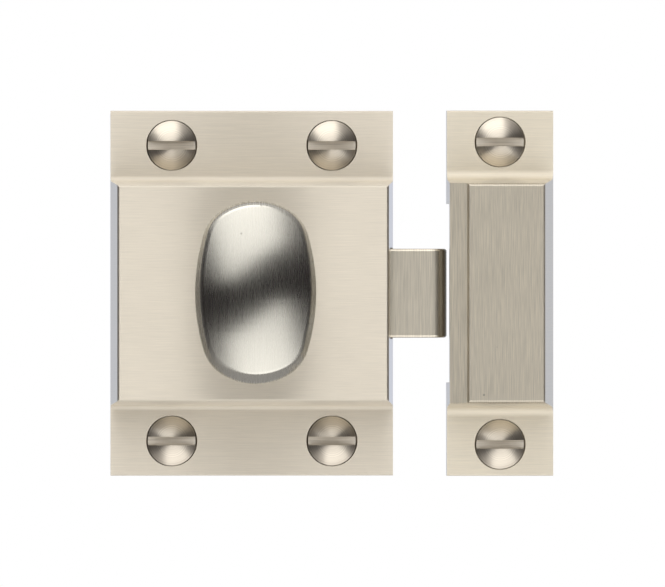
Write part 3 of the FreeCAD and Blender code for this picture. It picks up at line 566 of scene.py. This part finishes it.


# %% [markdown]
# Nickel is a warm grey with a little yellow in it, and all four finishes start from that colour.
# What sets them apart is the brushing. The case's long, even strokes stretch its sheen the most,
# and the shorter ones on the keep less. The bolt was only wiped with the belt, so its sheen is
# nearly round, and its nose rubs along the keep each time the door closes, so where it turns to the
# side it is rubbed smoother. Its colour there is also darkened, as painted shade for the dark room
# those faces mirror. The knob was polished before it was brushed: it is the smoothest, and the only
# piece that mirrors the room clearly. It is the same all round, so its turned faces keep its own
# roughness and tone.

# %% The four brushed finishes
KEEP_BLOCK_HALF = 15.4 * MM
case_nickel = brushed_nickel(
    "satin_nickel_brushed_across",
    "#D9D1C2",
    roughness=0.52,
    anisotropy=0.85,
    contrast=0.06,
    depth=0.003 * MM,
    across_beyond=ALWAYS,
)
keep_nickel = brushed_nickel(
    "satin_nickel_brushed_upright",
    "#E2DAC9",
    roughness=0.58,
    anisotropy=0.5,
    contrast=0.15,
    depth=0.002 * MM,
    across_beyond=KEEP_BLOCK_HALF,
)
# The bolt's turned tone darkens its nose as painted shade; the lower roughness there is real.
bolt_nickel = brushed_nickel(
    "satin_nickel_bolt",
    "#E0D8C7",
    roughness=0.4,
    anisotropy=0.1,
    contrast=0.13,
    depth=0.001 * MM,
    across_beyond=NEVER,
    walls=False,
    turned=TURNED_NOSE,
)
knob_nickel = brushed_nickel(
    "satin_nickel_knob",
    "#C9C6BC",
    roughness=0.27,
    anisotropy=0.85,
    contrast=0.06,
    depth=0.0004 * MM,
    across_beyond=NEVER,
    walls=False,
    turned=TURNED_KNOB,
)

# %% [markdown]
# The small pieces inside are plain zinc-plated steel, which looks greyer and is neither brushed nor
# polished: a soft even sheen, with the faint mottling of the plating. A screw's slot is cut with a
# slitting saw after the head is turned and plated thinly, so it is duller than the head round it.
# The saw's marks run along the slot, and are drawn coarser than they are, 0.2 mm apart, so that
# they show.

# %% Zinc-plated steel, spring steel and sawn metal
MOTTLE_SIZE = 0.5 * MM


def mottled_metal(name, colour, roughness, grain=MOTTLE_SIZE, stretch=(1, 1, 1)):
    """A metal with uneven tone and gloss at one grain size, which a stretch can draw out into lines."""
    material = bpy.data.materials.new(name)
    material.use_nodes = True
    tree = material.node_tree
    tree.nodes.clear()
    place = add_node(tree, "ShaderNodeTexCoord")
    drawn_out = add_node(
        tree, "ShaderNodeMapping", {"Scale": stretch}, {"Vector": place.outputs["Object"]}
    )
    mottle = add_node(
        tree,
        "ShaderNodeTexNoise",
        {"Scale": 1 / grain, "Detail": 3.0},
        {"Vector": drawn_out.outputs["Vector"]},
    )
    tone = add_node(
        tree,
        "ShaderNodeMapRange",
        {**NOISE_SPAN, "To Min": 0.88, "To Max": 1.04},
        {"Value": mottle.outputs["Fac"]},
    )
    colour_here = add_node(
        tree, "ShaderNodeVectorMath", {"operation": "SCALE"}, {"Scale": tone.outputs["Result"]}
    )
    colour_here.inputs["Vector"].default_value = to_linear(colour)[:3]
    gloss = add_node(
        tree,
        "ShaderNodeMapRange",
        {**NOISE_SPAN, "To Min": roughness * 1.15, "To Max": roughness * 0.85},
        {"Value": mottle.outputs["Fac"]},
    )
    metal = add_node(
        tree,
        "ShaderNodeBsdfPrincipled",
        {"Metallic": 1.0},
        {"Base Color": colour_here.outputs["Vector"], "Roughness": gloss.outputs["Result"]},
    )
    add_node(tree, "ShaderNodeOutputMaterial", links={"Surface": metal.outputs["BSDF"]})
    return material


SAW_MARK = 0.2 * MM
SAW_MARK_STRETCH = (0.04, 1, 1)
zinc_steel = mottled_metal("zinc_plated_steel", "#C9CACB", roughness=0.36)
spring_steel = mottled_metal("spring_steel_wire", "#A9A9AA", roughness=0.3)
sawn_nickel = mottled_metal(
    "sawn_slot", "#DCD4C6", roughness=0.6, grain=SAW_MARK, stretch=SAW_MARK_STRETCH
)
print("plain metals:", zinc_steel.name, spring_steel.name, sawn_nickel.name)

# %% [markdown]
# The raised heads are turned on a lathe and polished, which leaves rings round the screw's own
# axis. Light then spreads along the spokes, so a softbox shows as a fan that narrows to the middle,
# not as a patch. The rings need to know where each screw's axis is. An attribute on the mesh
# carries that: every point keeps its own distance from the axis, as a vector, and the pattern and
# the tangent are read from it. Real turning marks lie a few hundredths of a millimetre apart, too
# fine to show, so the rings are drawn 0.14 mm apart.

# %% Turned nickel
RING_WIDTH = 0.14 * MM


def turned_nickel(name, colour, roughness, anisotropy):
    """Nickel with rings round the axis that the mesh's from_axis attribute points away from."""
    material = bpy.data.materials.new(name)
    material.use_nodes = True
    tree = material.node_tree
    tree.nodes.clear()
    spoke = add_node(tree, "ShaderNodeAttribute", {"attribute_name": "from_axis"})
    radius = add_node(
        tree, "ShaderNodeVectorMath", {"operation": "LENGTH"}, {0: spoke.outputs["Vector"]}
    )
    rings = add_node(
        tree,
        "ShaderNodeTexNoise",
        {"noise_dimensions": "1D", "Scale": 1 / RING_WIDTH, "Detail": 2.0},
        {"W": radius.outputs["Value"]},
    )
    tone = add_node(
        tree,
        "ShaderNodeMapRange",
        {**NOISE_SPAN, "To Min": 0.86, "To Max": 1.05},
        {"Value": rings.outputs["Fac"]},
    )
    colour_here = add_node(
        tree, "ShaderNodeVectorMath", {"operation": "SCALE"}, {"Scale": tone.outputs["Result"]}
    )
    colour_here.inputs["Vector"].default_value = to_linear(colour)[:3]
    spread_in_room = add_node(
        tree,
        "ShaderNodeVectorTransform",
        {"vector_type": "VECTOR", "convert_from": "OBJECT", "convert_to": "WORLD"},
        {"Vector": spoke.outputs["Vector"]},
    )
    metal = add_node(
        tree,
        "ShaderNodeBsdfPrincipled",
        {"Metallic": 1.0, "Roughness": roughness, "Anisotropic": anisotropy},
        {"Base Color": colour_here.outputs["Vector"], "Tangent": spread_in_room.outputs["Vector"]},
    )
    add_node(tree, "ShaderNodeOutputMaterial", links={"Surface": metal.outputs["BSDF"]})
    return material


screw_nickel = turned_nickel("bright_nickel_turned", "#D5CCBD", roughness=0.35, anisotropy=0.75)
print(screw_nickel.name, "with rings", RING_WIDTH / MM, "mm apart")

# %% [markdown]
# The solids already have the right shape for the case, the keep, the bolt and the knob, with their
# coves, drafts and rounded edges, so those meshes stay and only get their finish.

# %% Finish the solids
FINISHES = {
    "latch_case": case_nickel,
    "keep": keep_nickel,
    "latch_bolt": bolt_nickel,
    "turn_knob": knob_nickel,
    "knob_washer": case_nickel,
}
for name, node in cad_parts.items():
    for place in node.material_slots:
        place.material = FINISHES.get(name, zinc_steel)
print("brushed:", sorted(FINISHES))

# %% [markdown]
# A wood screw is a turned head, a plain shank and a thread that was rolled or cut as one long
# spiral ridge. The solid gives the head, its slot and the shank exactly, but its threaded end is a
# plain rod. So a copy of the solid is merged and cut off at the end of the plain shank. A thinner
# core takes over from there; its end face is poked, which gives it a middle point that can be drawn
# out to the screw's tip. A wedge-shaped section is then spun round the core while it moves along,
# which is what a thread is. All six screws are alike, so one is made about its own axis and then
# copied to each place.

# %% The screw's head and plain shank
def axis_and_ends(node):
    """Where a node's middle lies across and up, and its front and back, in metres."""
    low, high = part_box(node)
    return (low.x + high.x) / 2, (low.z + high.z) / 2, low.y, high.y


centre_x, centre_z, crown_y, point_y = axis_and_ends("case_screw_1")
SHANK_RADIUS = 1.75 * MM
PLAIN_END = 3.2 * MM
SLOT_HALF = 0.6 * MM
SLOT_FLOOR = crown_y + 1.25 * MM
TOUCH = 0.01 * MM
SHARP = math.radians(25)
SAME_POINT = 0.0005 * MM

screw = bmesh.new()
screw.from_mesh(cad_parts["case_screw_1"].data)
bmesh.ops.remove_doubles(screw, verts=screw.verts, dist=SAME_POINT)
bmesh.ops.translate(screw, verts=screw.verts, vec=(-centre_x, 0, -centre_z))
bmesh.ops.bisect_plane(
    screw,
    geom=list(screw.verts) + list(screw.edges) + list(screw.faces),
    plane_co=(0, PLAIN_END, 0),
    plane_no=(0, 1, 0),
    clear_outer=True,
)
rim = [edge for edge in screw.edges if edge.is_boundary]
bmesh.ops.contextual_create(screw, geom=rim)
for face in screw.faces:
    middle = face.calc_center_median()
    face.smooth = True
    in_slot = abs(middle.z) < SLOT_HALF + TOUCH and middle.y < SLOT_FLOOR + TOUCH
    face.material_index = 1 if in_slot else 0
for edge in screw.edges:
    edge.smooth = len(edge.link_faces) == 2 and edge.calc_face_angle(0) < SHARP
print("head and shank:", len(screw.faces), "faces, cut", PLAIN_END / MM, "mm behind the mounting plane")

# %% The core and the thread
CORE_RADIUS = 1.2 * MM
THREAD_PITCH = 1.41 * MM
THREAD_FOOT = 0.42 * MM
THREAD_CREST = 0.06 * MM
POINT_LENGTH = 4.0 * MM
TURN_STEPS = 36
point_start = point_y - POINT_LENGTH
turns = (point_y - PLAIN_END - THREAD_PITCH) / THREAD_PITCH

plain_verts = set(screw.verts)
core_middle = Matrix.Translation((0, (PLAIN_END + point_start) / 2, 0))
core = bmesh.ops.create_cone(
    screw,
    cap_ends=True,
    segments=TURN_STEPS,
    radius1=CORE_RADIUS,
    radius2=CORE_RADIUS,
    depth=point_start - PLAIN_END,
    matrix=core_middle @ Matrix.Rotation(-math.pi / 2, 4, "X"),
)["verts"]
core_faces = {face for vertex in core for face in vertex.link_faces}
end_face = max(core_faces, key=lambda face: face.calc_center_median().y)
tip = bmesh.ops.poke(screw, faces=[end_face])["verts"][0]
tip.co.y = point_y
core_verts = set(screw.verts) - plain_verts

wedge = [
    screw.verts.new((CORE_RADIUS - THREAD_CREST, PLAIN_END, 0)),
    screw.verts.new((SHANK_RADIUS, PLAIN_END + THREAD_FOOT - THREAD_CREST, 0)),
    screw.verts.new((SHANK_RADIUS, PLAIN_END + THREAD_FOOT + THREAD_CREST, 0)),
    screw.verts.new((CORE_RADIUS - THREAD_CREST, PLAIN_END + 2 * THREAD_FOOT, 0)),
]
section = screw.faces.new(wedge)
bmesh.ops.spin(
    screw,
    geom=[section] + list(section.edges) + wedge,
    cent=(0, 0, 0),
    axis=(0, 1, 0),
    dvec=(0, THREAD_PITCH / TURN_STEPS, 0),
    angle=2 * math.pi * turns,
    steps=round(TURN_STEPS * turns),
)
thread_verts = set(screw.verts) - plain_verts - core_verts
for vertex in thread_verts:
    shrink = min(1.0, (point_y - vertex.co.y) / POINT_LENGTH)
    vertex.co.x *= shrink
    vertex.co.z *= shrink
thread_faces = {face for vertex in thread_verts for face in vertex.link_faces}
bmesh.ops.recalc_face_normals(screw, faces=list(thread_faces))
new_faces = thread_faces | {face for vertex in core_verts for face in vertex.link_faces}
for face in new_faces:
    face.smooth = True
for edge in {edge for face in new_faces for edge in face.edges}:
    edge.smooth = edge.calc_face_angle(0) < SHARP
print(f"thread: {turns:.1f} turns, {len(thread_faces)} faces")

# %% Keep each point's distance from the axis, then copy the screw to its six places
from_axis = screw.verts.layers.float_vector.new("from_axis")
for vertex in screw.verts:
    vertex[from_axis] = Vector((vertex.co.x, 0, vertex.co.z))
screw_mesh = bpy.data.meshes.new("wood_screw")
screw.to_mesh(screw_mesh)
screw.free()
screw_mesh.materials.append(screw_nickel)
screw_mesh.materials.append(sawn_nickel)

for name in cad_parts:
    if not name.startswith(("case_screw", "keep_screw")):
        continue
    x, z = axis_and_ends(name)[:2]
    mesh = screw_mesh.copy()
    mesh.transform(Matrix.Translation((x, 0, z)))
    piece = bpy.data.objects.new(name + "_threaded", mesh)
    scene.collection.objects.link(piece)
    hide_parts(name)
    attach(piece, "case")
    print(piece.name, "at", round(x / MM, 2), round(z / MM, 2), "mm")

# %% [markdown]
# The spring is round wire wound into an open coil whose end turns lie closed. A circle that stands
# square to the wire, spun round the bolt's line while it moves along, leaves the wire behind it.
# When the knob draws the bolt in, the real coil shortens between the case and the bolt.

# %% The bolt's spring
low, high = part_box("bolt_spring")
WIRE_RADIUS = 0.2 * MM
WIRE_SIDES = 12
SPRING_TURNS = 7
COIL_STEPS = 40
coil_radius = (high.z - low.z) / 2 - WIRE_RADIUS
middle_y = (low.y + high.y) / 2
length = high.x - low.x
closed_pitch = 2 * WIRE_RADIUS
open_pitch = (length - 4 * WIRE_RADIUS - closed_pitch) / (SPRING_TURNS - 2)

wire = bmesh.new()
wire_start = Matrix.Translation((low.x + WIRE_RADIUS, middle_y, coil_radius))
ring = bmesh.ops.create_circle(
    wire,
    segments=WIRE_SIDES,
    radius=WIRE_RADIUS,
    matrix=wire_start @ Matrix.Rotation(math.pi / 2, 4, "X"),
)["verts"]
wire.faces.new(ring)
stages = [(1, closed_pitch), (SPRING_TURNS - 2, open_pitch), (1, closed_pitch)]
growing = list(wire.verts) + list(wire.edges) + list(wire.faces)
for coils, pitch in stages:
    grown = bmesh.ops.spin(
        wire,
        geom=growing,
        cent=(0, middle_y, 0),
        axis=(1, 0, 0),
        dvec=(pitch / COIL_STEPS, 0, 0),
        angle=2 * math.pi * coils,
        steps=COIL_STEPS * coils,
    )
    growing = grown["geom_last"]
bmesh.ops.recalc_face_normals(wire, faces=wire.faces)
for face in wire.faces:
    face.smooth = len(face.verts) == 4
spring_mesh = bpy.data.meshes.new("wound_spring")
wire.to_mesh(spring_mesh)
wire.free()
spring_mesh.materials.append(spring_steel)
spring = bpy.data.objects.new("wound_spring", spring_mesh)
scene.collection.objects.link(spring)
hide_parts("bolt_spring")
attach(spring, "case")
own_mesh(spring)
